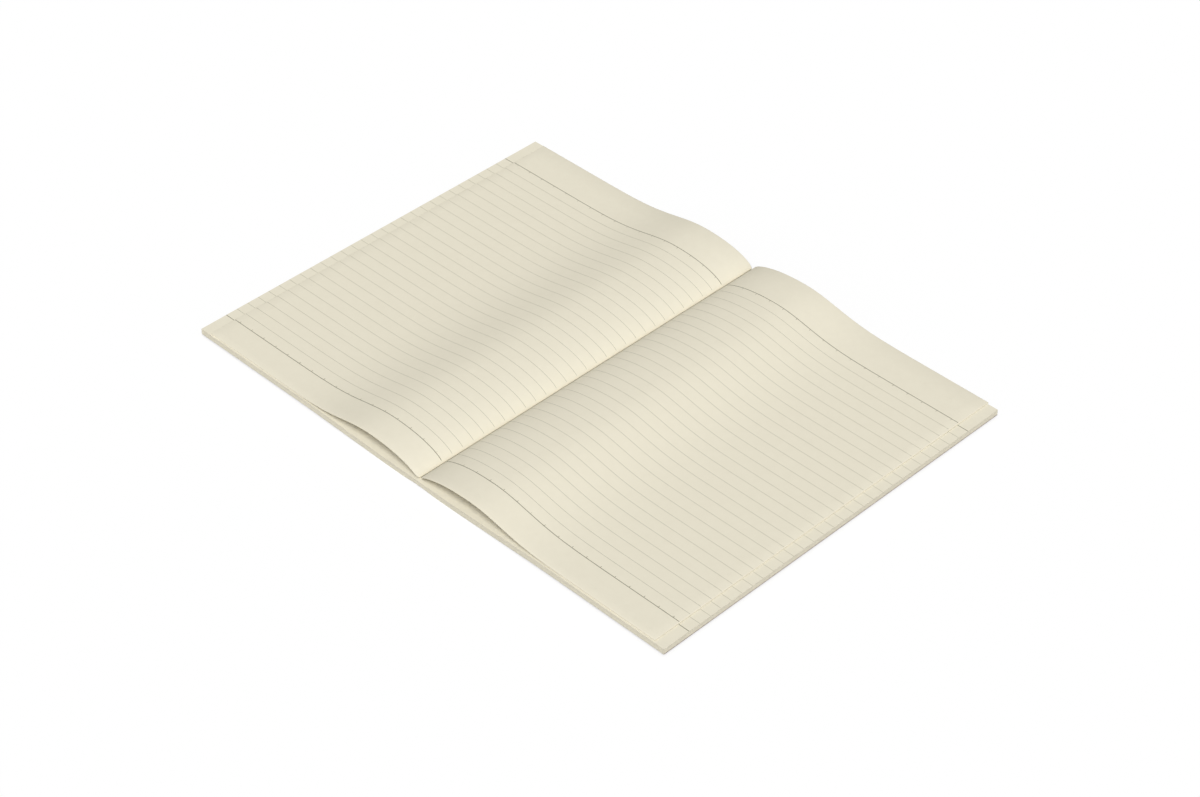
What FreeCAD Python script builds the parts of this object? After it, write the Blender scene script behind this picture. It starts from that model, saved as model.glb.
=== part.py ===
import FreeCAD, Part
import math
import os

# An open composition notebook lying on its covers, opened at the middle of its pages.
# X runs across the spread, with the front cover on the -X side. Y runs along the spine, from
# the foot of the pages (-Y) to their head (+Y). Z is up, and z = 0 is the table.
# The origin is under the spine, at the middle of the notebook's length. All sizes are in mm.

# The stacks of pages
SHEET_HEIGHT = 252.0          # along the spine
HALF_SPREAD = 174.3           # from the spine to a stack's fore edge
STACK_THICKNESS = 3.0         # the pages on one side, without the cover

# How the open notebook lies: it rests on a land beside the spine, and rises a little outwards
LAND_START = 12.0             # from the spine to the inner edge of the land
LAND_END = 24.0               # from the spine to the outer edge of the land
RAMP_END = 88.0               # from the spine to where the outer part is level again
OUTER_LIFT = 1.6              # the outer part's underside above the table
SPINE_LIFT = 0.8              # a cover's underside at its hinge above the table
CARD_BEND = 60.0              # radius of the soft bends where the slopes change

# The covers and the strip over the spine
CARD = 0.4                    # thickness of the cover card
COVER_CLEARANCE = 0.15        # between a cover and the pages above it
STRIP_HALF_WIDTH = 1.4        # the spine strip, from its middle to its edge
STRIP_THICKNESS = 0.4
STRIP_DROP = 0.25             # the strip's underside below the covers' inner edges
HINGE_CLEARANCE = 0.15        # between a cover's rounded inner edge and the strip

# The raised leaf on each side, and the fold that both grow out of
LEAF = 0.6                    # thickness of a raised leaf, which is a few sheets
FOLD_HEIGHT = 0.6             # the bottom of the gutter above the pages beneath
FOLD_OVERLAP = 0.1            # how far the fold and the leaves' stems reach into what they join

# The left raised leaf. Distances across are measured from the spine.
LEFT_ROOT = 0.6               # its face at the bottom of the gutter
LEFT_CREST = 35.8             # its highest line
LEFT_RISE = 8.0               # the crest above the leaf's level part
LEFT_FALL = 32.4              # width of the bell-shaped fall outside the crest
LEFT_SQUARENESS = 2.2        # how flat the leaf runs just inside the crest
LEFT_STEEPNESS = 0.57         # how steeply it leaves the fold, steeper when smaller
LEFT_FORE_SET_BACK = 7.1      # its fore edge inside the stack's
LEFT_GAP = 0.15               # its level part above the page beneath
LEFT_FOOT_SET_BACK = 1.05     # its foot edge inside the stack's
LEFT_HEAD_SET_BACK = 0.2      # its head edge inside the stack's

# The right raised leaf has slipped towards the head, so it stands out there. Its root is
# left of the spine's middle, because the gutter lies a little to that side.
RIGHT_ROOT = -0.45
RIGHT_CREST = 38.4
RIGHT_RISE = 7.9
RIGHT_FALL = 31.9
RIGHT_SQUARENESS = 2.15
RIGHT_STEEPNESS = 0.62
RIGHT_FORE_SET_BACK = 6.8
RIGHT_GAP = 0.35
RIGHT_FOOT_SET_BACK = 1.45
RIGHT_HEAD_OVERHANG = 0.6

# How finely a leaf's curve is worked out
INNER_STATIONS = 9            # between the fold and the crest
OUTER_STATIONS = 8            # between the crest and the level part
BELL_WIDTHS = 2.4             # the bell ends this many widths outside the crest

# Places that follow from the sizes
LENGTH_OVERALL = SHEET_HEIGHT + RIGHT_HEAD_OVERHANG
FOOT_Y = -LENGTH_OVERALL / 2
HEAD_Y = FOOT_Y + SHEET_HEIGHT
HINGE_X = STRIP_HALF_WIDTH + HINGE_CLEARANCE + CARD / 2
HINGE_Z = SPINE_LIFT + CARD / 2
STRIP_TOP = SPINE_LIFT - STRIP_DROP + STRIP_THICKNESS
LAND_TOP = CARD + COVER_CLEARANCE + STACK_THICKNESS
GUTTER_Z = LAND_TOP + FOLD_HEIGHT
OUTER_TOP = OUTER_LIFT + LAND_TOP


def point(x, z):
    """A point of the section across the spine."""
    return FreeCAD.Vector(x, 0, z)


def lines_through(*points):
    """Straight edges from point to point."""
    return [Part.makeLine(a, b) for a, b in zip(points, points[1:])]


def prism(edges, foot_y, head_y):
    """A section, given by its edges, carried along the spine from foot to head."""
    section = Part.Face(Part.Wire(Part.sortEdges(edges)[0]))
    section.translate(FreeCAD.Vector(0, foot_y, 0))
    return section.extrude(FreeCAD.Vector(0, head_y - foot_y, 0))


def offset_path(path, distance):
    """The path moved up by a distance, square to its runs, with mitred corners.

    A path is a list of (distance from the spine, height, bend radius), from the spine outwards.
    """
    slopes = [math.atan2(end[1] - start[1], end[0] - start[0]) for start, end in zip(path, path[1:])]
    slopes_in = [slopes[0]] + slopes
    slopes_out = slopes + [slopes[-1]]
    moved = []
    for (x, z, bend), slope_in, slope_out in zip(path, slopes_in, slopes_out):
        middle = (slope_in + slope_out) / 2
        reach = distance / math.cos((slope_out - slope_in) / 2)
        tighter = math.copysign(distance, (slope_out - slope_in) * distance) if bend else 0
        moved.append((x - reach * math.sin(middle), z + reach * math.cos(middle), bend - tighter))
    return moved


def path_edges(path, side):
    """The path's runs joined by tangent arcs, on one side of the spine (side is -1 or 1)."""
    edges = []
    start = point(side * path[0][0], path[0][1])
    for (x, z, bend), (next_x, next_z, _) in zip(path[1:], path[2:]):
        corner = point(side * x, z)
        to_start = (start - corner).normalize()
        to_next = (point(side * next_x, next_z) - corner).normalize()
        half_turn = (math.pi - to_start.getAngle(to_next)) / 2
        run = bend * math.tan(half_turn)
        arc_start = corner + to_start * run
        arc_end = corner + to_next * run
        inwards = (to_start + to_next).normalize()
        arc_middle = corner + inwards * (bend / math.cos(half_turn) - bend)
        edges.append(Part.makeLine(start, arc_start))
        edges.append(Part.Arc(arc_start, arc_middle, arc_end).toShape())
        start = arc_end
    edges.append(Part.makeLine(start, point(side * path[-1][0], path[-1][1])))
    return edges


def cover_line():
    """The middle of a cover's card: down from the hinge, along its land, up, and level again."""
    half = CARD / 2
    return [
        (HINGE_X, HINGE_Z, 0),
        (LAND_START, half, CARD_BEND),
        (LAND_END, half, CARD_BEND),
        (RAMP_END, OUTER_LIFT + half, CARD_BEND),
        (HALF_SPREAD, OUTER_LIFT + half, 0),
    ]


def make_cover(side):
    """A sheet of card. Its inner edge is rounded about the hinge, on which it turns."""
    half = CARD / 2
    below = offset_path(cover_line(), -half)
    above = offset_path(cover_line(), half)
    (hinge_x, hinge_z, _), (land_x, land_z, _) = cover_line()[:2]
    lean = math.atan2(land_z - hinge_z, land_x - hinge_x)
    tip = point(side * (hinge_x - half * math.cos(lean)), hinge_z - half * math.sin(lean))
    inner_below, outer_below = [point(side * x, z) for x, z, _ in (below[0], below[-1])]
    inner_above, outer_above = [point(side * x, z) for x, z, _ in (above[0], above[-1])]
    edges = path_edges(below, side) + path_edges(above, side)
    edges += lines_through(outer_below, outer_above)
    edges.append(Part.Arc(inner_below, tip, inner_above).toShape())
    return prism(edges, FOOT_Y, HEAD_Y)


def make_spine_strip():
    """The narrow strip under the fold of the pages, between the two covers."""
    corner = FreeCAD.Vector(-STRIP_HALF_WIDTH, FOOT_Y, STRIP_TOP - STRIP_THICKNESS)
    return Part.makeBox(2 * STRIP_HALF_WIDTH, SHEET_HEIGHT, STRIP_THICKNESS, corner)


def pages_underside():
    """The underside of the pages: it lies over a cover, and runs in to the keel over the strip."""
    path = offset_path(cover_line(), CARD / 2 + COVER_CLEARANCE)
    (inner_x, inner_z, _), (next_x, next_z, _) = path[:2]
    slope = (next_z - inner_z) / (next_x - inner_x)
    path[0] = (STRIP_HALF_WIDTH, inner_z + slope * (STRIP_HALF_WIDTH - inner_x), 0)
    return path


def pages_top():
    """The top of a stack of pages, which follows the bends of the cover beneath it."""
    return [
        (0, LAND_TOP, 0),
        (LAND_END, LAND_TOP, CARD_BEND),
        (RAMP_END, OUTER_TOP, CARD_BEND),
        (HALF_SPREAD, OUTER_TOP, 0),
    ]


def make_stacks():
    """The two stacks of pages, and the keel that stands on the spine strip, as one section."""
    below = pages_underside()
    above = pages_top()
    edges = lines_through(point(-STRIP_HALF_WIDTH, STRIP_TOP), point(STRIP_HALF_WIDTH, STRIP_TOP))
    for side in (-1, 1):
        inner_x, inner_z, _ = below[0]
        outer_x, outer_z, _ = below[-1]
        edges += path_edges(below, side) + path_edges(above, side)
        edges += lines_through(point(side * inner_x, STRIP_TOP), point(side * inner_x, inner_z))
        edges += lines_through(point(side * outer_x, outer_z), point(side * outer_x, OUTER_TOP))
    return prism(edges, FOOT_Y, HEAD_Y)


def leaf_line(root, crest, rise, fall, squareness, steepness, level):
    """Points of a raised leaf's upper face, as (distance from the spine, height).

    From the bottom of the gutter to the crest the leaf is a quarter of a superellipse, and
    outside the crest it falls as a bell curve to its level part.
    """
    climb = level + rise - GUTTER_Z
    points = []
    for i in range(INNER_STATIONS):
        angle = math.pi / 2 * i / INNER_STATIONS
        distance = crest - (crest - root) * math.cos(angle) ** (2 / squareness)
        points.append((distance, GUTTER_Z + climb * math.sin(angle) ** (2 * steepness)))
    for i in range(OUTER_STATIONS):
        widths = BELL_WIDTHS * i / OUTER_STATIONS
        points.append((crest + fall * widths, level + rise * math.exp(-widths ** 2)))
    points.append((crest + fall * BELL_WIDTHS, level))
    return points


def make_leaf(side, upper_line, fore_set_back, level, foot_y, head_y):
    """A raised leaf: a stem in the fold, the arch, and the level part out to its fore edge."""
    reach = HALF_SPREAD - fore_set_back
    nodes = [point(side * x, z) for x, z in upper_line]
    upper = Part.BSplineCurve()
    upper.interpolate(nodes)
    lower_nodes = []
    for node in nodes:
        along = upper.tangent(upper.parameter(node))[0]
        lower_nodes.append(node + FreeCAD.Vector(side * along.z, 0, -side * along.x) * LEAF)
    lower = Part.BSplineCurve()
    lower.interpolate(lower_nodes)
    stem_z = LAND_TOP - FOLD_OVERLAP
    edges = [upper.toShape(), lower.toShape()]
    edges += lines_through(
        nodes[-1], point(side * reach, level), point(side * reach, level - LEAF), lower_nodes[-1])
    edges += lines_through(
        nodes[0], point(nodes[0].x, stem_z), point(lower_nodes[0].x, stem_z), lower_nodes[0])
    return prism(edges, foot_y, head_y)


def make_left_leaf():
    level = OUTER_TOP + LEFT_GAP + LEAF
    line = leaf_line(
        LEFT_ROOT, LEFT_CREST, LEFT_RISE, LEFT_FALL, LEFT_SQUARENESS, LEFT_STEEPNESS, level)
    return make_leaf(
        -1, line, LEFT_FORE_SET_BACK, level, FOOT_Y + LEFT_FOOT_SET_BACK, HEAD_Y - LEFT_HEAD_SET_BACK)


def make_right_leaf():
    level = OUTER_TOP + RIGHT_GAP + LEAF
    line = leaf_line(
        RIGHT_ROOT, RIGHT_CREST, RIGHT_RISE, RIGHT_FALL, RIGHT_SQUARENESS, RIGHT_STEEPNESS, level)
    return make_leaf(
        1, line, RIGHT_FORE_SET_BACK, level, FOOT_Y + RIGHT_FOOT_SET_BACK, HEAD_Y + RIGHT_HEAD_OVERHANG)


def make_fold():
    """The folded backs of the raised leaves, which fill the gutter between their stems."""
    width = LEFT_ROOT + RIGHT_ROOT + 2 * FOLD_OVERLAP
    foot_y = FOOT_Y + RIGHT_FOOT_SET_BACK
    head_y = HEAD_Y - LEFT_HEAD_SET_BACK
    corner = FreeCAD.Vector(-LEFT_ROOT - FOLD_OVERLAP, foot_y, LAND_TOP - FOLD_OVERLAP)
    return Part.makeBox(width, head_y - foot_y, FOLD_HEIGHT + FOLD_OVERLAP, corner)


def make_page_block():
    """All the pages, bound together at the spine: both stacks, the fold and the raised leaves."""
    return make_stacks().multiFuse([make_left_leaf(), make_right_leaf(), make_fold()])


def main():
    os.makedirs("parts", exist_ok=True)
    nodes = {
        "page_block": make_page_block(),
        "front_cover": make_cover(-1),
        "back_cover": make_cover(1),
        "spine_strip": make_spine_strip(),
    }
    for name, shape in nodes.items():
        print(name, "solids", len(shape.Solids), "valid", shape.isValid(), "volume", round(shape.Volume, 1),
              shape.BoundBox)
        shape.exportStep("parts/" + name + ".step")


main()
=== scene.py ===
import math

import bmesh
import bpy
import numpy as np
from mathutils import Matrix, Vector


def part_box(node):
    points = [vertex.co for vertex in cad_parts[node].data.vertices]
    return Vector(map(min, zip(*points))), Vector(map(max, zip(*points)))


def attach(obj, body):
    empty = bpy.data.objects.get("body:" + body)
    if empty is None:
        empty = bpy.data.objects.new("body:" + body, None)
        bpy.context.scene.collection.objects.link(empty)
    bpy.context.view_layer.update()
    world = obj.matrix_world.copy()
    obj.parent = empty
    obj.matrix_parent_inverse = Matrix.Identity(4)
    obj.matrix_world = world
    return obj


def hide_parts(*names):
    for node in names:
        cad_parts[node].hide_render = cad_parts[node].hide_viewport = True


# An open ruled notebook: stacks of cream pages, two raised sheets that arch out of the fold,
# and thin card covers. X runs across the spread, Y along the spine towards the head, Z is up.
MM = 0.001

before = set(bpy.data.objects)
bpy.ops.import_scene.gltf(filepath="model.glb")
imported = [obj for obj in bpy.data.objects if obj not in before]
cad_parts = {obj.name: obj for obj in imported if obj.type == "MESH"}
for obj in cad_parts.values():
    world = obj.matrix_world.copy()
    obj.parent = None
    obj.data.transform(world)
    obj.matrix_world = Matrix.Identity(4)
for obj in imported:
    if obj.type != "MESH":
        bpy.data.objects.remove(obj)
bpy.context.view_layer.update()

# Thicknesses, and the room that a cover has to turn
CARD = 0.4 * MM
STACK = 3.0 * MM
LEAF = 0.6 * MM
COVER_CLEARANCE = 0.15 * MM

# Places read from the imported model
LEAF_HEAD_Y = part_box("page_block")[1].y
COVER_LOW, COVER_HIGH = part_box("back_cover")
STRIP_LOW, STRIP_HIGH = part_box("spine_strip")
HALF_SPREAD = COVER_HIGH.x
FOOT_Y = COVER_LOW.y
HEAD_Y = COVER_HIGH.y
OUTER_LIFT = COVER_HIGH.z - CARD

# How the stacks and covers bend: distances from the spine, and heights of a cover's underside
LAND_START = 12 * MM
LAND_END = 24 * MM
RAMP_END = 88 * MM
HINGE_LIFT = 0.8 * MM
BEND_SOFTNESS = 2.0 * MM
BEND_SAMPLES = 9
KEEL_ROUND = 0.3 * MM
STRIP_ROUND = 0.2 * MM
STRIP_ROUND_POWER = 4
STRIP_STATIONS = 15

# How far apart the points of a face are: close about the fold, then wider towards the fore edge
FOLD_REACH = 3 * MM
FOLD_STEP = 0.1 * MM
BEND_REACH = 30 * MM
BEND_STEP = 1.5 * MM
FLAT_STEP = 6 * MM
LENGTH_STEP = 14 * MM
LEAF_LENGTH_STEP = 12 * MM
LEAF_FOOT_STEP = 4 * MM
GUTTER_FOLD_STEP = 20 * MM

# Faces that meet at a greater angle than this show an edge
SHARP_ANGLE = math.radians(32)

# Sheets as they show at the cut edges. A groove takes twice GROOVE_SHARE of a sheet's thickness,
# and a sheet's edge wanders by a slow and a quick wave round the rim.
SHEETS_IN_A_STACK = 30
SHEETS_IN_A_LEAF = 5
LEAF_SPLAY = 0.5 * MM
LEAF_SEAT = 0.02 * MM
GROOVE = 0.03 * MM
GROOVE_SHARE = 0.14
SHEET_SCATTER = 0.05 * MM
STACK_INSET = SHEET_SCATTER * 0.5
SCATTER_SHARE = 0.7
WANDER_SHARE = 0.1
SLOW_WAVES = 3
QUICK_WAVES = 8
QUICK_SHARE = 0.6

# Cut card: how much its corners are eased, and the heights at which its edge is worked out
CARD_EASE = 0.03 * MM
CARD_EDGE_SHARES = np.array([0.08, 0.3, 0.7, 0.92])

# Printed rules
RULES = 29
RULE_PITCH = 7.5 * MM
THIN_RULE = 0.26 * MM
HEAVY_RULE = 0.43 * MM
TICK_PITCH = 9.92 * MM
TICK_LENGTH = 1.0 * MM
TICK_WIDTH = 0.28 * MM
INK_PROUD = 0.01 * MM
INK_SUNK = 0.01 * MM

# The raised leaves. Distances across are measured from the spine, heights from the table, and
# rules_from and first_tick along the paper from the root. squareness and steepness shape the
# arch, and root_slope is the slope of the line that it stays under at the root.
LEFT_LEAF = {
    "side": -1,
    "stem": 1.6 * MM, "root": 0.4 * MM, "crest": 35.8 * MM, "fall": 32.4 * MM,
    "reach": HALF_SPREAD - 7.1 * MM, "head": HEAD_Y - 0.2 * MM,
    "gutter": 4.45 * MM, "rise": 8.0 * MM, "level": 5.90 * MM,
    "squareness": 2.2, "steepness": 0.6, "root_slope": 20,
    "foot": FOOT_Y + 0.65 * MM, "arch_foot": FOOT_Y, "stem_set_back": 1.2 * MM,
    "first_rule": FOOT_Y + 17.5 * MM, "rules_from": 1.8 * MM, "first_tick": 7.0 * MM, "ticks": 17,
}
RIGHT_LEAF = {
    "side": 1,
    "stem": -0.2 * MM, "root": -0.2 * MM, "crest": 38.4 * MM, "fall": 31.9 * MM,
    "reach": HALF_SPREAD - 6.8 * MM, "head": LEAF_HEAD_Y,
    "gutter": 4.3 * MM, "rise": 7.9 * MM, "level": 6.10 * MM,
    "squareness": 2.15, "steepness": 0.62, "root_slope": 1.2,
    "foot": FOOT_Y + 0.85 * MM, "arch_foot": FOOT_Y + 0.35 * MM, "stem_set_back": 2.6 * MM,
    "first_rule": FOOT_Y + 18.15 * MM, "rules_from": 0.3 * MM, "first_tick": 17.0 * MM, "ticks": 16,
}
STEM_BOTTOM = 3.45 * MM
PATH_STEP = 0.05 * MM
ARCH_SAMPLES = 900
CORNER_REACH = 0.2 * MM

# Where a leaf's face is worked out, as shares of its run, which is about LEAF_RUN long: closest
# in the crease, and close on the arch. The splayed fore edge takes the rest of the run.
LEAF_RUN = 170 * MM
CREASE_END = 0.02
ROOT_END = 0.09
ARCH_END = 0.6
LAST_STATION = 1 - LEAF_SPLAY / LEAF_RUN
LEAF_STATIONS = np.concatenate([
    np.linspace(0, CREASE_END, 25), np.linspace(CREASE_END, ROOT_END, 30)[1:],
    np.linspace(ROOT_END, ARCH_END, 66)[1:], np.linspace(ARCH_END, LAST_STATION, 12)[1:]])

# How a leaf's foot edge bows: see foot_edge
FOOT_MARGIN = 16 * MM
FOOT_EASE = 0.12
GUTTER_SET_BACK = 0.45 * MM
GUTTER_POWER = 2
STEM_POWER = 8

# The folded backs of the raised sheets, at the bottom of the gutter
FOLD_Z = 3.58 * MM
FOLD_SEAT = 0.1 * MM
FOLD_HEAD_SET_BACK = 0.1 * MM
FOLD_EASE = 0.02 * MM
FOLD_STATIONS = 7

# Rules of the pages beneath
STACK_FIRST_RULE = 17.4 * MM
STACK_RULES_FROM = 6 * MM

# Finishes: colours are linear, and the depths are those of the bump
PAPER = (0.778, 0.733, 0.600)
PAPER_SHADE = (0.763, 0.718, 0.585)
EDGE_PALE = (0.778, 0.733, 0.600)
# The darkest sheet edge, which is also the painted shade in the grooves between sheets
EDGE_DARK_AND_GROOVE_SHADE = (0.690, 0.646, 0.526)
INK = (0.430, 0.414, 0.322)
HEAVY_INK = (0.226, 0.215, 0.155)
CARD_OUTSIDE = (0.370, 0.290, 0.245)
CARD_OUTSIDE_DARK = (0.310, 0.238, 0.200)
WHITE = (1.0, 1.0, 1.0)
PAPER_IN_INK = 0.15
PAPER_TOOTH = 0.01 * MM
CARD_GRAIN = 0.03 * MM

# Light: an even sky and one broad soft lamp over the near right shoulder, over a white floor
SKY = 0.24
LAMP = 0.976
LAMP_TOWARDS = Vector((0.4285, -0.438, 0.76))
LAMP_SOFTNESS = math.radians(28)
FLOOR_BOUNCE = 0.56
FLOOR_GLOW = 0.5
FLOOR_SIZE = 8.0
FLOOR_GAP = 0.02 * MM

# Camera, at the photograph's viewing angle
CAMERA_AT = Vector((0.8498, -0.8470, 0.9798))
CAMERA_FORWARD = Vector((-0.54345, 0.54490, -0.63856))
CAMERA_RIGHT = Vector((0.70760, 0.70661, 0.00076))
CAMERA_LENS = 86.96
CAMERA_NEAR = 0.01

# Sockets of the Mix node when it mixes colours
MIX_FIRST = 6
MIX_SECOND = 7
MIX_RESULT = 2


def put_mesh(name, points, quads, material_of=None, materials=()):
    """A mesh object at the origin from points, four-cornered faces and a material number a face."""
    mesh = bpy.data.meshes.new(name)
    mesh.from_pydata(points.reshape(-1, 3).tolist(), [], quads.tolist())
    for material in materials:
        mesh.materials.append(material)
    if material_of is not None:
        mesh.polygons.foreach_set("material_index", material_of.astype(np.int32))
    mesh.polygons.foreach_set("use_smooth", np.ones(len(quads), bool))
    mesh.set_sharp_from_angle(angle=SHARP_ANGLE)
    mesh.update()
    piece = bpy.data.objects.new(name, mesh)
    bpy.context.scene.collection.objects.link(piece)
    return piece


def quads_between(rows):
    """Faces of a grid of vertex numbers: each joins a vertex to the next one, both ways.

    They look up where rows run along +Y and columns along +X.
    """
    return np.stack([rows[:-1, :-1], rows[:-1, 1:], rows[1:, 1:], rows[1:, :-1]], -1).reshape(-1, 4)


def ring_of(grid):
    """The vertex numbers round a grid's rim, anticlockwise from above."""
    return np.concatenate([grid[0, :], grid[1:, -1], grid[-1, -2::-1], grid[-2:0:-1, 0]])


def outwards_of(rows, columns):
    """Directions straight out of a grid's rim in X and Y, in the order of ring_of."""
    out = np.zeros((rows, columns, 3))
    out[0, :, 1] = -1
    out[-1, :, 1] = 1
    out[:, 0, 0] = -1
    out[:, -1, 0] = 1
    return ring_of_points(out)


def ring_of_points(points):
    """The points round a grid's rim, in the order of ring_of."""
    return np.concatenate([points[0, :], points[1:, -1], points[-1, -2::-1], points[-2:0:-1, 0]])


def slab(name, top, bottom, wall, tone, materials, wall_material=None):
    """A closed sheet or stack: a top and a bottom grid of points, joined by a wall round the rim.

    The wall is a list of (share of the height, distance outwards), and its points are
    bottom + share * (top - bottom) + distance * outwards. tone gives a paleness for each
    of the wall's rows. Materials are those of the top, the bottom and the wall, unless
    wall_material picks a number for each face of the wall by its middle.
    """
    rows, columns = top.shape[:2]
    count = rows * columns
    top_grid = np.arange(count).reshape(rows, columns)
    bottom_grid = top_grid + count
    top_ring, bottom_ring = ring_of_points(top), ring_of_points(bottom)
    outwards = outwards_of(rows, columns)
    share, distance = wall
    share = share[:, None, None]
    rim = bottom_ring + share * (top_ring - bottom_ring) + distance[..., None] * outwards
    ring_size = len(top_ring)
    rim_grid = 2 * count + np.arange(len(rim) * ring_size).reshape(len(rim), ring_size)
    courses = np.vstack([ring_of(bottom_grid), rim_grid, ring_of(top_grid)])
    courses = np.hstack([courses, courses[:, :1]])
    points = np.concatenate([top.reshape(-1, 3), bottom.reshape(-1, 3), rim.reshape(-1, 3)])
    top_faces = quads_between(top_grid)
    bottom_faces = quads_between(bottom_grid)[:, ::-1]
    wall_faces = quads_between(courses)
    if wall_material is None:
        wall_numbers = np.full(len(wall_faces), 2)
    else:
        middles = points[wall_faces].mean(1)
        wall_numbers = wall_material(middles)
    numbers = np.concatenate([np.zeros(len(top_faces)), np.ones(len(bottom_faces)), wall_numbers])
    piece = put_mesh(
        name, points, np.concatenate([top_faces, bottom_faces, wall_faces]), numbers, materials)
    paleness = np.full(len(points), 0.5)
    paleness[2 * count:] = np.broadcast_to(tone[:, None], (len(rim), ring_size)).reshape(-1)
    # Each sheet's own random tone, with the grooves between sheets set darkest as painted shade
    layer = piece.data.attributes.new("sheet_tone_and_groove_shade", "FLOAT", "POINT")
    layer.data.foreach_set("value", paleness.astype(np.float32))
    return piece


def soft_profile(x, distances, heights):
    """Height over distance from the spine: straight runs, with their corners rounded.

    It is the mean of the runs' heights over BEND_SOFTNESS to each side.
    """
    shifts = np.linspace(-BEND_SOFTNESS, BEND_SOFTNESS, BEND_SAMPLES)
    return np.mean([np.interp(np.abs(x) + shift, distances, heights) for shift in shifts], 0)


def cover_underside(x):
    """Height of a cover's underside: down from the hinge, along its land, up, and level again."""
    distances = [COVER_LOW.x, LAND_START, LAND_END, RAMP_END, HALF_SPREAD]
    return soft_profile(x, distances, [HINGE_LIFT, 0, 0, OUTER_LIFT, OUTER_LIFT])


def stack_top(x):
    """Height of the pages under the raised leaves: level by the spine, up a ramp, level again."""
    low = CARD + COVER_CLEARANCE + STACK
    high = low + OUTER_LIFT
    return soft_profile(x, [0, LAND_END, RAMP_END, HALF_SPREAD], [low, low, high, high])


def stack_bottom(x):
    """Height of the pages' underside: level over the spine strip, and above the cover beyond.

    The two heights are blended over KEEL_ROUND by the smooth step, 3 t^2 - 2 t^3.
    """
    over_cover = cover_underside(x) + CARD + COVER_CLEARANCE
    out_of_keel = np.clip((np.abs(x) - STRIP_HIGH.x + KEEL_ROUND) / KEEL_ROUND, 0, 1)
    blend = out_of_keel ** 2 * (3 - 2 * out_of_keel)
    return STRIP_HIGH.z + blend * (over_cover - STRIP_HIGH.z)


def sheet_wall(sheets, ring_size, splay, seed):
    """A cut edge: each sheet is a small step with a groove to the next.

    From the top down the sheets stand out by a quarter of an ellipse that is splay wide,
    splay * sqrt(1 - share^2). A sheet's own distance inwards is random, and wanders round the
    rim as the sum of a slow and a quick sine wave. Gives the wall and each row's paleness:
    random for each sheet, and darkest in the grooves, as painted shade between the sheets.
    """
    random = np.random.default_rng(seed)
    lower = (np.arange(sheets) + GROOVE_SHARE) / sheets
    upper = (np.arange(sheets) + 1 - GROOVE_SHARE) / sheets
    grooves = np.arange(1, sheets) / sheets
    share = np.concatenate([lower, upper, grooves])
    is_groove = np.concatenate([np.zeros(2 * sheets, bool), np.ones(sheets - 1, bool)])
    sheet = np.concatenate([np.arange(sheets), np.arange(sheets), np.arange(sheets - 1)])
    order = np.argsort(share)
    share, is_groove, sheet = share[order], is_groove[order], sheet[order]
    around = np.linspace(0, 2 * math.pi, ring_size, endpoint=False)
    phases = random.uniform(0, 2 * math.pi, (2, sheets, 1))
    most = 1 + QUICK_SHARE
    wander = np.sin(around * SLOW_WAVES + phases[0]) + QUICK_SHARE * np.sin(around * QUICK_WAVES + phases[1])
    own = random.uniform(0, 1, (sheets, 1)) * SCATTER_SHARE
    inset = SHEET_SCATTER * (own + WANDER_SHARE * (wander + most) / most)
    distance = splay * np.sqrt(1 - share[:, None] ** 2) - inset[sheet]
    distance -= GROOVE * is_groove[:, None]
    tone = random.uniform(0, 1, sheets)[sheet]
    # The grooves take the darkest tone: painted shade in the gaps between sheets
    tone[is_groove] = 0
    return (share, distance), tone


def plain_wall(rounding):
    """A cut card edge with its corners eased: rounding * sqrt(1 - (2 share - 1)^2) outwards."""
    share = CARD_EDGE_SHARES
    distance = rounding * np.sqrt(1 - (2 * share - 1) ** 2)
    return (share, distance[:, None]), np.full(len(share), 0.5)


def stations(low, high, step):
    """Evenly spaced values from low to high, no further apart than step."""
    return np.linspace(low, high, max(2, math.ceil((high - low) / step) + 1))


def grid_points(x, y, heights):
    """A grid of points with rows along y and columns along x."""
    across, along = np.meshgrid(x, y)
    return np.stack([across, along, np.broadcast_to(heights, across.shape)], -1)


def stack_stations():
    """Places across the spread where the stacks' faces are worked out, fine about the fold."""
    fine = stations(-FOLD_REACH, FOLD_REACH, FOLD_STEP)
    right = np.concatenate([stations(FOLD_REACH, BEND_REACH, BEND_STEP)[1:],
                            stations(BEND_REACH, HALF_SPREAD - STACK_INSET, FLAT_STEP)[1:]])
    return np.concatenate([-right[::-1], fine, right])


def make_stack(paper, edge):
    """Both stacks of pages, in one: they bend over the covers and hang into the keel."""
    x = stack_stations()
    y = stations(FOOT_Y + STACK_INSET, HEAD_Y - STACK_INSET, LENGTH_STEP)
    top = grid_points(x, y, stack_top(x))
    bottom = grid_points(x, y, stack_bottom(x))
    ring_size = 2 * (len(x) + len(y)) - 4
    (share, distance), tone = sheet_wall(SHEETS_IN_A_STACK, ring_size, 0, seed=11)
    return slab("page_stack", top, bottom, (share, distance + STACK_INSET), tone, (paper, paper, edge))


def run_along(distance, height):
    """How far along a line each of its points lies: the sum of the runs before it."""
    return np.concatenate([[0], np.cumsum(np.hypot(np.diff(distance), np.diff(height)))])


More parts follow.
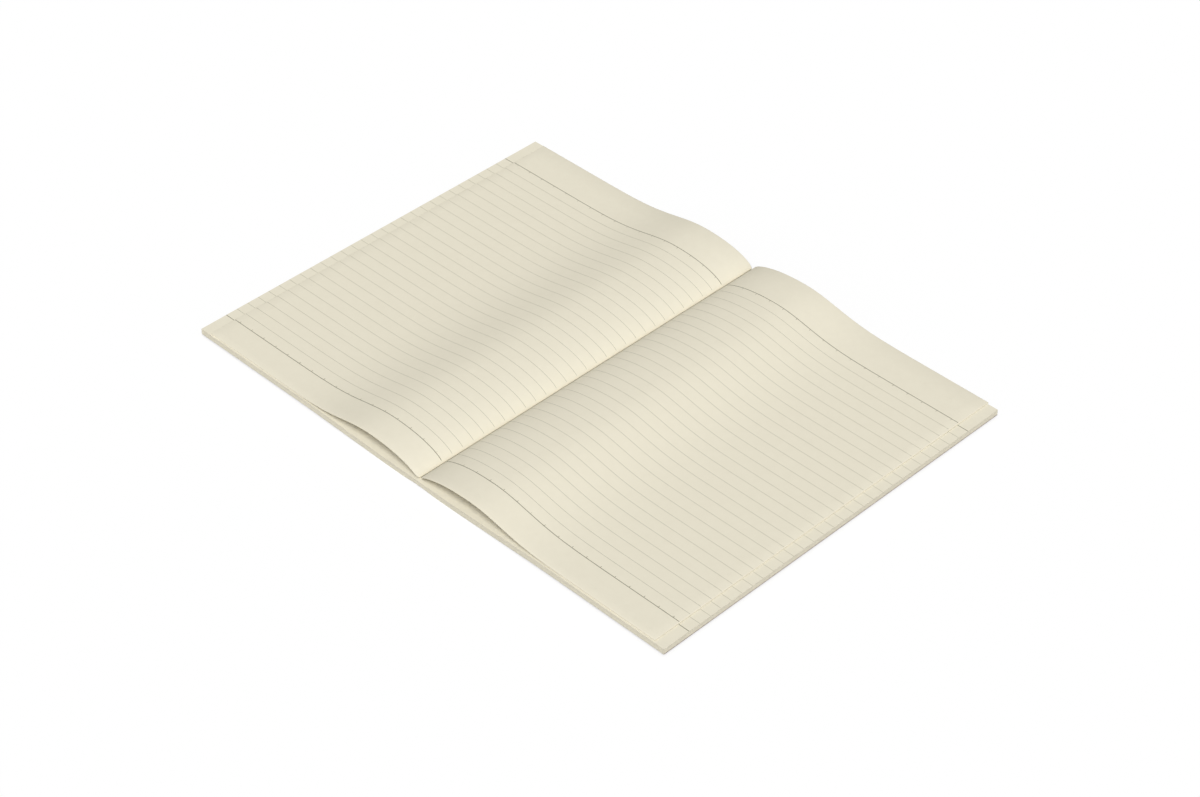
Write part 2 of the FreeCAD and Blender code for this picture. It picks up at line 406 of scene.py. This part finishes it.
def leaf_path(leaf):
    """Upper face of a raised leaf as (run, distance from the spine, height), finely sampled.

    From the stem's bottom the face leans to its root in the gutter. It comes up from there
    as a quarter of a superellipse to the crest, kept below a straight line of root_slope:
    across by cos(angle)^(2 / squareness), and up by sin(angle)^(2 steepness). Then it falls
    as a bell curve, rise * exp(-(beyond the crest / fall)^2), and runs on level to the fore
    edge. The corners are rounded by the mean over CORNER_REACH to each side.
    """
    angle = np.linspace(0, math.pi / 2, ARCH_SAMPLES)
    climb = leaf["level"] + leaf["rise"] - leaf["gutter"]
    inner = leaf["crest"] - (leaf["crest"] - leaf["root"]) * np.cos(angle) ** (2 / leaf["squareness"])
    arch = leaf["gutter"] + climb * np.sin(angle) ** (2 * leaf["steepness"])
    root_line = leaf["gutter"] + leaf["root_slope"] * (inner - leaf["root"])
    outer = np.linspace(leaf["crest"], leaf["reach"], ARCH_SAMPLES)[1:]
    fall = leaf["level"] + leaf["rise"] * np.exp(-((outer - leaf["crest"]) / leaf["fall"]) ** 2)
    distance = np.concatenate([[leaf["stem"]], inner, outer])
    height = np.concatenate([[STEM_BOTTOM], np.minimum(arch, root_line), fall])
    run = run_along(distance, height)
    even = np.arange(0, run[-1], PATH_STEP)
    distance, height = np.interp(even, run, distance), np.interp(even, run, height)
    reach = round(CORNER_REACH / PATH_STEP)
    window = np.ones(2 * reach + 1) / (2 * reach + 1)
    inside = slice(reach, len(even) - reach)
    distance[inside] = np.convolve(distance, window, "valid")
    height[inside] = np.convolve(height, window, "valid")
    return run_along(distance, height), distance, height


def leaf_section(leaf):
    """The leaf's section at the stations of its mesh: run, face, back and upward normal.

    The back lies LEAF below the face, square to it, and where the leaf is level it sinks
    on to the pages beneath.
    """
    run, distance, height = leaf_path(leaf)
    at = LEAF_STATIONS * run[-1]
    face = np.stack([np.interp(at, run, distance), np.interp(at, run, height)], -1)
    ahead, behind = np.minimum(at + PATH_STEP, run[-1]), np.maximum(at - PATH_STEP, 0)
    along_d = np.interp(ahead, run, distance) - np.interp(behind, run, distance)
    along_z = np.interp(ahead, run, height) - np.interp(behind, run, height)
    normal = np.stack([-along_z, along_d], -1) / np.hypot(along_d, along_z)[:, None]
    back = face - LEAF * normal
    gap = back[:, 1] - stack_top(back[:, 0])
    level_gap = leaf["level"] - LEAF - stack_top(leaf["reach"])
    over = np.maximum(gap - level_gap, 0)
    sink = (level_gap - LEAF_SEAT) * np.exp(-over / LEAF)
    back[:, 1] -= np.where(face[:, 0] > leaf["crest"], sink, 0)
    back[:, 1] = np.maximum(back[:, 1], STEM_BOTTOM)
    return at, face, back, normal


def foot_edge(leaf, face):
    """Where the leaf's foot edge lies along Y: further out on the arch than on the level part.

    Outside the crest it goes from foot to arch_foot as 1 - exp(-raised / FOOT_EASE), where
    raised is the share of the arch's height. Inside the crest it goes back again by
    GUTTER_SET_BACK, and the stem by stem_set_back more, with two powers of what is missing
    to the crest's height.
    """
    crest_height = leaf["level"] + leaf["rise"]
    raised = np.clip((face[:, 1] - leaf["level"]) / leaf["rise"], 0, 1)
    outer = leaf["foot"] + (leaf["arch_foot"] - leaf["foot"]) * (1 - np.exp(-raised / FOOT_EASE))
    missing = np.clip((crest_height - face[:, 1]) / (crest_height - leaf["gutter"]), 0, 1)
    set_back = GUTTER_SET_BACK * missing ** GUTTER_POWER + leaf["stem_set_back"] * missing ** STEM_POWER
    return np.where(face[:, 0] > leaf["crest"], outer, leaf["arch_foot"] + set_back)


def make_leaf(name, leaf, paper, edge, seed):
    """A raised leaf: its section carried along the spine, from its foot edge to its head.

    The foot edge's bow fades out over FOOT_MARGIN, in proportion to the distance left.
    """
    at, face, back, _ = leaf_section(leaf)
    start = leaf["arch_foot"] + LEAF_SPLAY
    margin_end = start + FOOT_MARGIN
    y = np.concatenate([stations(start, margin_end, LEAF_FOOT_STEP),
                        stations(margin_end, leaf["head"] - LEAF_SPLAY, LEAF_LENGTH_STEP)[1:]])
    near_foot = np.clip(1 - (y - start) / FOOT_MARGIN, 0, 1)
    top = grid_points(leaf["side"] * face[:, 0], y, face[:, 1])
    bottom = grid_points(leaf["side"] * back[:, 0], y, back[:, 1])
    shift = near_foot[:, None] * (foot_edge(leaf, face) - leaf["arch_foot"])
    top[..., 1] += shift
    bottom[..., 1] += shift
    if leaf["side"] < 0:
        top, bottom = top[:, ::-1], bottom[:, ::-1]
    ring_size = 2 * (len(at) + len(y)) - 4
    wall, tone = sheet_wall(SHEETS_IN_A_LEAF, ring_size, LEAF_SPLAY, seed)
    return slab(name, top, bottom, wall, tone, (paper, paper, edge))


def make_fold(paper):
    """The folded backs of the raised sheets: a level strip that closes the bottom of the gutter."""
    foot = LEFT_LEAF["arch_foot"] + GUTTER_SET_BACK + LEFT_LEAF["stem_set_back"]
    x = np.linspace(-LEFT_LEAF["stem"] - LEAF / 2, RIGHT_LEAF["stem"] + LEAF / 2, FOLD_STATIONS)
    y = stations(foot, LEFT_LEAF["head"] - FOLD_HEAD_SET_BACK, GUTTER_FOLD_STEP)
    top = grid_points(x, y, np.full(len(x), FOLD_Z))
    bottom = grid_points(x, y, stack_top(x) - FOLD_SEAT)
    wall, tone = plain_wall(FOLD_EASE)
    return slab("gutter_fold", top, bottom, wall, tone, (paper, paper, paper))


def cut_at_the_ends(middles):
    """Cut card shows at the head and the foot, and the outside is turned in elsewhere."""
    ends = (middles[:, 1] > HEAD_Y - 2 * CARD_EASE) | (middles[:, 1] < FOOT_Y + 2 * CARD_EASE)
    return np.where(ends, 0, 1)


def make_cover(name, side, outside, inside):
    """A sheet of card that follows the pages' underside, from its hinge to the fore edge."""
    distance = np.concatenate([stations(COVER_LOW.x + CARD_EASE, BEND_REACH, BEND_STEP),
                               stations(BEND_REACH, HALF_SPREAD - CARD_EASE, FLAT_STEP)[1:]])
    x = distance if side > 0 else -distance[::-1]
    y = stations(FOOT_Y + CARD_EASE, HEAD_Y - CARD_EASE, LENGTH_STEP)
    under = cover_underside(x)
    top = grid_points(x, y, under + CARD)
    bottom = grid_points(x, y, under)
    wall, tone = plain_wall(CARD_EASE)
    return slab(name, top, bottom, wall, tone, (inside, outside), cut_at_the_ends)


def make_spine_strip(outside, inside):
    """The strip under the fold: flat against the pages, its outside edges rounded off.

    Its underside rises by STRIP_ROUND times the fourth power of the share of its half width.
    """
    x = np.linspace(STRIP_LOW.x + CARD_EASE, STRIP_HIGH.x - CARD_EASE, STRIP_STATIONS)
    y = stations(FOOT_Y + CARD_EASE, HEAD_Y - CARD_EASE, LENGTH_STEP)
    top = grid_points(x, y, np.full(len(x), STRIP_HIGH.z))
    bottom = grid_points(x, y, STRIP_LOW.z + STRIP_ROUND * (x / STRIP_HIGH.x) ** STRIP_ROUND_POWER)
    wall, tone = plain_wall(CARD_EASE)
    return slab("spine_strip_card", top, bottom, wall, tone, (inside, outside), cut_at_the_ends)


def bars(centres, normals, half_width):
    """Closed thin bars of ink along lines of points.

    centres and normals are arrays of (bars, points, 3), and half_width is a vector for each
    bar, square to its run. A bar's section is a flat rectangle, sunk a little into the paper.
    """
    count, length = centres.shape[:2]
    side = half_width[:, None, :]
    up, down = normals * INK_PROUD, -normals * INK_SUNK
    corners = np.stack([centres - side + up, centres + side + up,
                        centres + side + down, centres - side + down], 2)
    numbers = np.arange(count * length * 4).reshape(count, length, 4)
    ahead = np.roll(numbers, -1, axis=2)
    around = np.stack([numbers[:, :-1], ahead[:, :-1], ahead[:, 1:], numbers[:, 1:]], -1).reshape(-1, 4)
    start = numbers[:, 0]
    end = numbers[:, -1, ::-1]
    return corners.reshape(-1, 3), np.concatenate([around, start[:, ::-1], end[:, ::-1]])


def join_bars(name, groups, ink):
    """One mesh of several groups of bars, with its faces turned outwards."""
    points, faces, offset = [], [], 0
    for group_points, group_faces in groups:
        points.append(group_points)
        faces.append(group_faces + offset)
        offset += len(group_points)
    piece = put_mesh(name, np.concatenate(points), np.concatenate(faces), materials=(ink,))
    turn_outwards(piece)
    return piece


def turn_outwards(piece):
    """Recalculates the faces so that they look out of the closed bars."""
    work = bmesh.new()
    work.from_mesh(piece.data)
    bmesh.ops.recalc_face_normals(work, faces=work.faces)
    work.to_mesh(piece.data)
    work.free()


def on_leaf(leaf, lengths, y, underneath=False):
    """Points and outward normals on a leaf's face or back, for each y and each length along it."""
    at, face, back, normal = leaf_section(leaf)
    section = back if underneath else face
    outwards = -normal if underneath else normal
    points = np.empty((len(y), len(lengths), 3))
    normals = np.zeros((len(y), len(lengths), 3))
    points[..., 0] = leaf["side"] * np.interp(lengths, at, section[:, 0])
    points[..., 1] = y[:, None]
    points[..., 2] = np.interp(lengths, at, section[:, 1])
    normals[..., 0] = leaf["side"] * np.interp(lengths, at, outwards[:, 0])
    normals[..., 2] = np.interp(lengths, at, outwards[:, 1])
    return points, normals


def rule_places(first):
    """Where a page's rules lie along Y, one RULE_PITCH apart."""
    return first + RULE_PITCH * np.arange(RULES)


def rule_sets(y, thin, heavy):
    """The two sorts of rules on a page: (word, places, width, ink). The first and the last are heavy."""
    return (("thin", y[1:-1], THIN_RULE, thin), ("heavy", y[[0, -1]], HEAVY_RULE, heavy))


def make_leaf_rules(name, leaf, thin, heavy):
    """The rules on both faces of a leaf, with ticks on the inner side of the heavy ones."""
    at = leaf_section(leaf)[0]
    start = math.hypot(leaf["root"] - leaf["stem"], leaf["gutter"] - STEM_BOTTOM)
    first = start + leaf["rules_from"]
    lengths = np.concatenate([[first], at[at > first]])
    y = rule_places(leaf["first_rule"])
    pieces = []
    for word, places, width, ink in rule_sets(y, thin, heavy):
        half = np.tile([0, width / 2, 0], (len(places), 1))
        groups = []
        for underneath in (False, True):
            points, normals = on_leaf(leaf, lengths, places, underneath)
            groups.append(bars(points, normals, half))
        pieces.append(join_bars(name + "_" + word + "_rules", groups, ink))
    tick_run = start + leaf["first_tick"] + TICK_PITCH * np.arange(leaf["ticks"])
    groups = []
    for place, inwards in ((y[0], 1), (y[-1], -1)):
        ends = np.sort(place + inwards * np.array([HEAVY_RULE / 2, HEAVY_RULE / 2 + TICK_LENGTH]))
        points, normals = on_leaf(leaf, tick_run, ends)
        points, normals = points.transpose(1, 0, 2), normals.transpose(1, 0, 2)
        half = np.tile([TICK_WIDTH / 2, 0, 0], (len(tick_run), 1))
        groups.append(bars(points, normals, half))
    pieces.append(join_bars(name + "_ticks", groups, heavy))
    return pieces


def make_stack_rules(thin, heavy):
    """The rules of the pages beneath, from near the fold to each fore edge."""
    y = rule_places(FOOT_Y + STACK_FIRST_RULE)
    across = stack_stations()
    pieces = []
    for side, name in ((-1, "left_stack"), (1, "right_stack")):
        x = across[across * side >= STACK_RULES_FROM]
        for word, places, width, ink in rule_sets(y, thin, heavy):
            points = grid_points(x, places, stack_top(x))
            normals = np.zeros_like(points)
            normals[..., 2] = 1
            half = np.tile([0, width / 2, 0], (len(places), 1))
            group = bars(points, normals, half)
            pieces.append(join_bars(name + "_" + word + "_rules", [group], ink))
    return pieces


def new_material(name, roughness, specular):
    """A material with a Principled shader. Returns it with its node tree and the shader."""
    material = bpy.data.materials.new(name)
    material.use_nodes = True
    tree = material.node_tree
    shader = tree.nodes["Principled BSDF"]
    shader.inputs["Roughness"].default_value = roughness
    shader.inputs["Specular IOR Level"].default_value = specular
    return material, tree, shader


def noise(tree, scale, detail):
    """A noise texture on the piece's own coordinates. Scale is in features to the metre."""
    place = tree.nodes.new("ShaderNodeTexCoord").outputs["Object"]
    texture = tree.nodes.new("ShaderNodeTexNoise")
    texture.inputs["Scale"].default_value = scale
    texture.inputs["Detail"].default_value = detail
    tree.links.new(place, texture.inputs["Vector"])
    return texture.outputs["Fac"]


def blend_colours(tree, factor, first, second, low=0.3, high=0.7):
    """A colour between two, as a factor goes from low to high."""
    ramp = tree.nodes.new("ShaderNodeValToRGB")
    ramp.color_ramp.elements[0].position = low
    ramp.color_ramp.elements[1].position = high
    ramp.color_ramp.elements[0].color = (*first, 1)
    ramp.color_ramp.elements[1].color = (*second, 1)
    tree.links.new(factor, ramp.inputs["Fac"])
    return ramp.outputs["Color"]


def add_bump(tree, shader, height, depth):
    """Bump from a height between 0 and 1, at full strength. depth is that of a height of 1."""
    bump = tree.nodes.new("ShaderNodeBump")
    bump.inputs["Distance"].default_value = depth
    bump.inputs["Strength"].default_value = 1.0
    tree.links.new(height, bump.inputs["Height"])
    tree.links.new(bump.outputs["Normal"], shader.inputs["Normal"])


def paper_material():
    """Uncoated cream writing paper: a faint cloudy look-through and a fine fibre tooth."""
    material, tree, shader = new_material("cream_writing_paper", roughness=0.9, specular=0.15)
    cloud = noise(tree, scale=260, detail=5)
    tree.links.new(blend_colours(tree, cloud, PAPER_SHADE, PAPER), shader.inputs["Base Color"])
    add_bump(tree, shader, noise(tree, scale=2600, detail=4), PAPER_TOOTH)
    return material


def page_edge_material():
    """The cut edges of many sheets: each sheet has its own paleness, and the gaps between them are painted
    darker as shade.
    """
    material, tree, shader = new_material("cut_page_edges", roughness=0.95, specular=0.1)
    tone = tree.nodes.new("ShaderNodeAttribute")
    tone.attribute_name = "sheet_tone_and_groove_shade"
    colour = blend_colours(tree, tone.outputs["Fac"], EDGE_DARK_AND_GROOVE_SHADE, EDGE_PALE, low=0, high=1)
    tree.links.new(colour, shader.inputs["Base Color"])
    add_bump(tree, shader, noise(tree, scale=3500, detail=3), PAPER_TOOTH)
    return material


def ink_material(name, colour):
    """Printed ink, slightly broken up by the paper's tooth."""
    material, tree, shader = new_material(name, roughness=0.8, specular=0.15)
    paler = tuple((1 - PAPER_IN_INK) * ink + PAPER_IN_INK * paper for ink, paper in zip(colour, PAPER))
    broken = blend_colours(tree, noise(tree, scale=1800, detail=4), colour, paler)
    tree.links.new(broken, shader.inputs["Base Color"])
    return material


def card_outside_material():
    """Matt brown-mauve card: soft mottling and a fine felt grain."""
    material, tree, shader = new_material("brown_mauve_card", roughness=0.75, specular=0.25)
    mottle = blend_colours(tree, noise(tree, scale=420, detail=6), CARD_OUTSIDE_DARK, CARD_OUTSIDE)
    tree.links.new(mottle, shader.inputs["Base Color"])
    add_bump(tree, shader, noise(tree, scale=1400, detail=5), CARD_GRAIN)
    return material


def seen_directly(tree):
    """A factor that is 1 for camera, glossy and transmission rays, and 0 for all other light."""
    path = tree.nodes.new("ShaderNodeLightPath")
    seen = path.outputs["Is Camera Ray"]
    for other in ("Is Glossy Ray", "Is Transmission Ray"):
        either = tree.nodes.new("ShaderNodeMath")
        either.operation = "MAXIMUM"
        tree.links.new(seen, either.inputs[0])
        tree.links.new(path.outputs[other], either.inputs[1])
        seen = either.outputs[0]
    return seen


def white_for_camera(tree, plain, white):
    """Picks white where the surface is seen directly, and plain for all other light."""
    pick = tree.nodes.new("ShaderNodeMix")
    pick.data_type = "RGBA"
    tree.links.new(seen_directly(tree), pick.inputs["Factor"])
    pick.inputs[MIX_FIRST].default_value = (*plain, 1)
    pick.inputs[MIX_SECOND].default_value = (*white, 1)
    return pick.outputs[MIX_RESULT]


def make_floor():
    """A white floor that bounces only a part of its light, and keeps a faint shadow of the notebook."""
    half = FLOOR_SIZE / 2
    corners = ((-half, -half), (half, -half), (half, half), (-half, half))
    points = np.array([(x, y, -FLOOR_GAP) for x, y in corners])
    material, tree, shader = new_material("white_floor", roughness=1.0, specular=0.0)
    bounce = (FLOOR_BOUNCE,) * 3
    tree.links.new(white_for_camera(tree, bounce, WHITE), shader.inputs["Base Color"])
    glow = tree.nodes.new("ShaderNodeEmission")
    share = tree.nodes.new("ShaderNodeMixShader")
    part = tree.nodes.new("ShaderNodeMath")
    part.operation = "MULTIPLY"
    part.inputs[1].default_value = FLOOR_GLOW
    tree.links.new(seen_directly(tree), part.inputs[0])
    tree.links.new(part.outputs[0], share.inputs["Fac"])
    tree.links.new(shader.outputs[0], share.inputs[1])
    tree.links.new(glow.outputs[0], share.inputs[2])
    tree.links.new(share.outputs[0], tree.nodes["Material Output"].inputs["Surface"])
    floor = put_mesh("floor", points, np.array([[0, 1, 2, 3]]), materials=(material,))


def light_scene():
    """An even sky, and one lamp as a far, broad disc.

    A lamp of strength pi lights a white face that is square to it to 1, so LAMP is a share of that.
    """
    world = bpy.data.worlds.new("even_sky")
    bpy.context.scene.world = world
    world.use_nodes = True
    tree = world.node_tree
    colour = white_for_camera(tree, (SKY,) * 3, WHITE)
    tree.links.new(colour, tree.nodes["Background"].inputs["Color"])
    lamp = bpy.data.lights.new("soft_lamp", "SUN")
    lamp.energy = LAMP * math.pi
    lamp.angle = LAMP_SOFTNESS
    holder = bpy.data.objects.new("soft_lamp", lamp)
    holder.rotation_mode = "QUATERNION"
    holder.rotation_quaternion = LAMP_TOWARDS.to_track_quat("Z", "Y")
    bpy.context.scene.collection.objects.link(holder)


def add_camera():
    """A long lens that looks down from the near right, turned by its forward and right directions."""
    data = bpy.data.cameras.new("camera")
    data.lens = CAMERA_LENS
    data.clip_start = CAMERA_NEAR
    camera = bpy.data.objects.new("camera", data)
    back = -CAMERA_FORWARD.normalized()
    right = (CAMERA_RIGHT - CAMERA_RIGHT.dot(back) * back).normalized()
    turned = Matrix((right, back.cross(right), back)).transposed().to_4x4()
    camera.matrix_world = Matrix.Translation(CAMERA_AT) @ turned
    bpy.context.scene.collection.objects.link(camera)
    bpy.context.scene.camera = camera


def main():
    """Builds the pages, the covers and the strip, and puts each on its body, then sets the stage."""
    paper = paper_material()
    edge = page_edge_material()
    thin = ink_material("thin_rule_ink", INK)
    heavy = ink_material("heavy_rule_ink", HEAVY_INK)
    outside = card_outside_material()

    stack = make_stack(paper, edge)
    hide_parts("page_block")
    pages = [stack, make_leaf("left_leaf", LEFT_LEAF, paper, edge, seed=21),
             make_leaf("right_leaf", RIGHT_LEAF, paper, edge, seed=22), make_fold(paper)]
    pages += make_leaf_rules("left_leaf", LEFT_LEAF, thin, heavy)
    pages += make_leaf_rules("right_leaf", RIGHT_LEAF, thin, heavy)
    pages += make_stack_rules(thin, heavy)
    for piece in pages:
        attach(piece, "pages")

    for name, side in (("front_cover", -1), ("back_cover", 1)):
        cover = make_cover(name + "_card", side, outside, edge)
        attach(cover, name)
        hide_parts(name)
    strip = make_spine_strip(outside, edge)
    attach(strip, "pages")
    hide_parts("spine_strip")

    make_floor()
    light_scene()
    add_camera()
    bpy.context.scene.view_settings.view_transform = "Standard"


main()
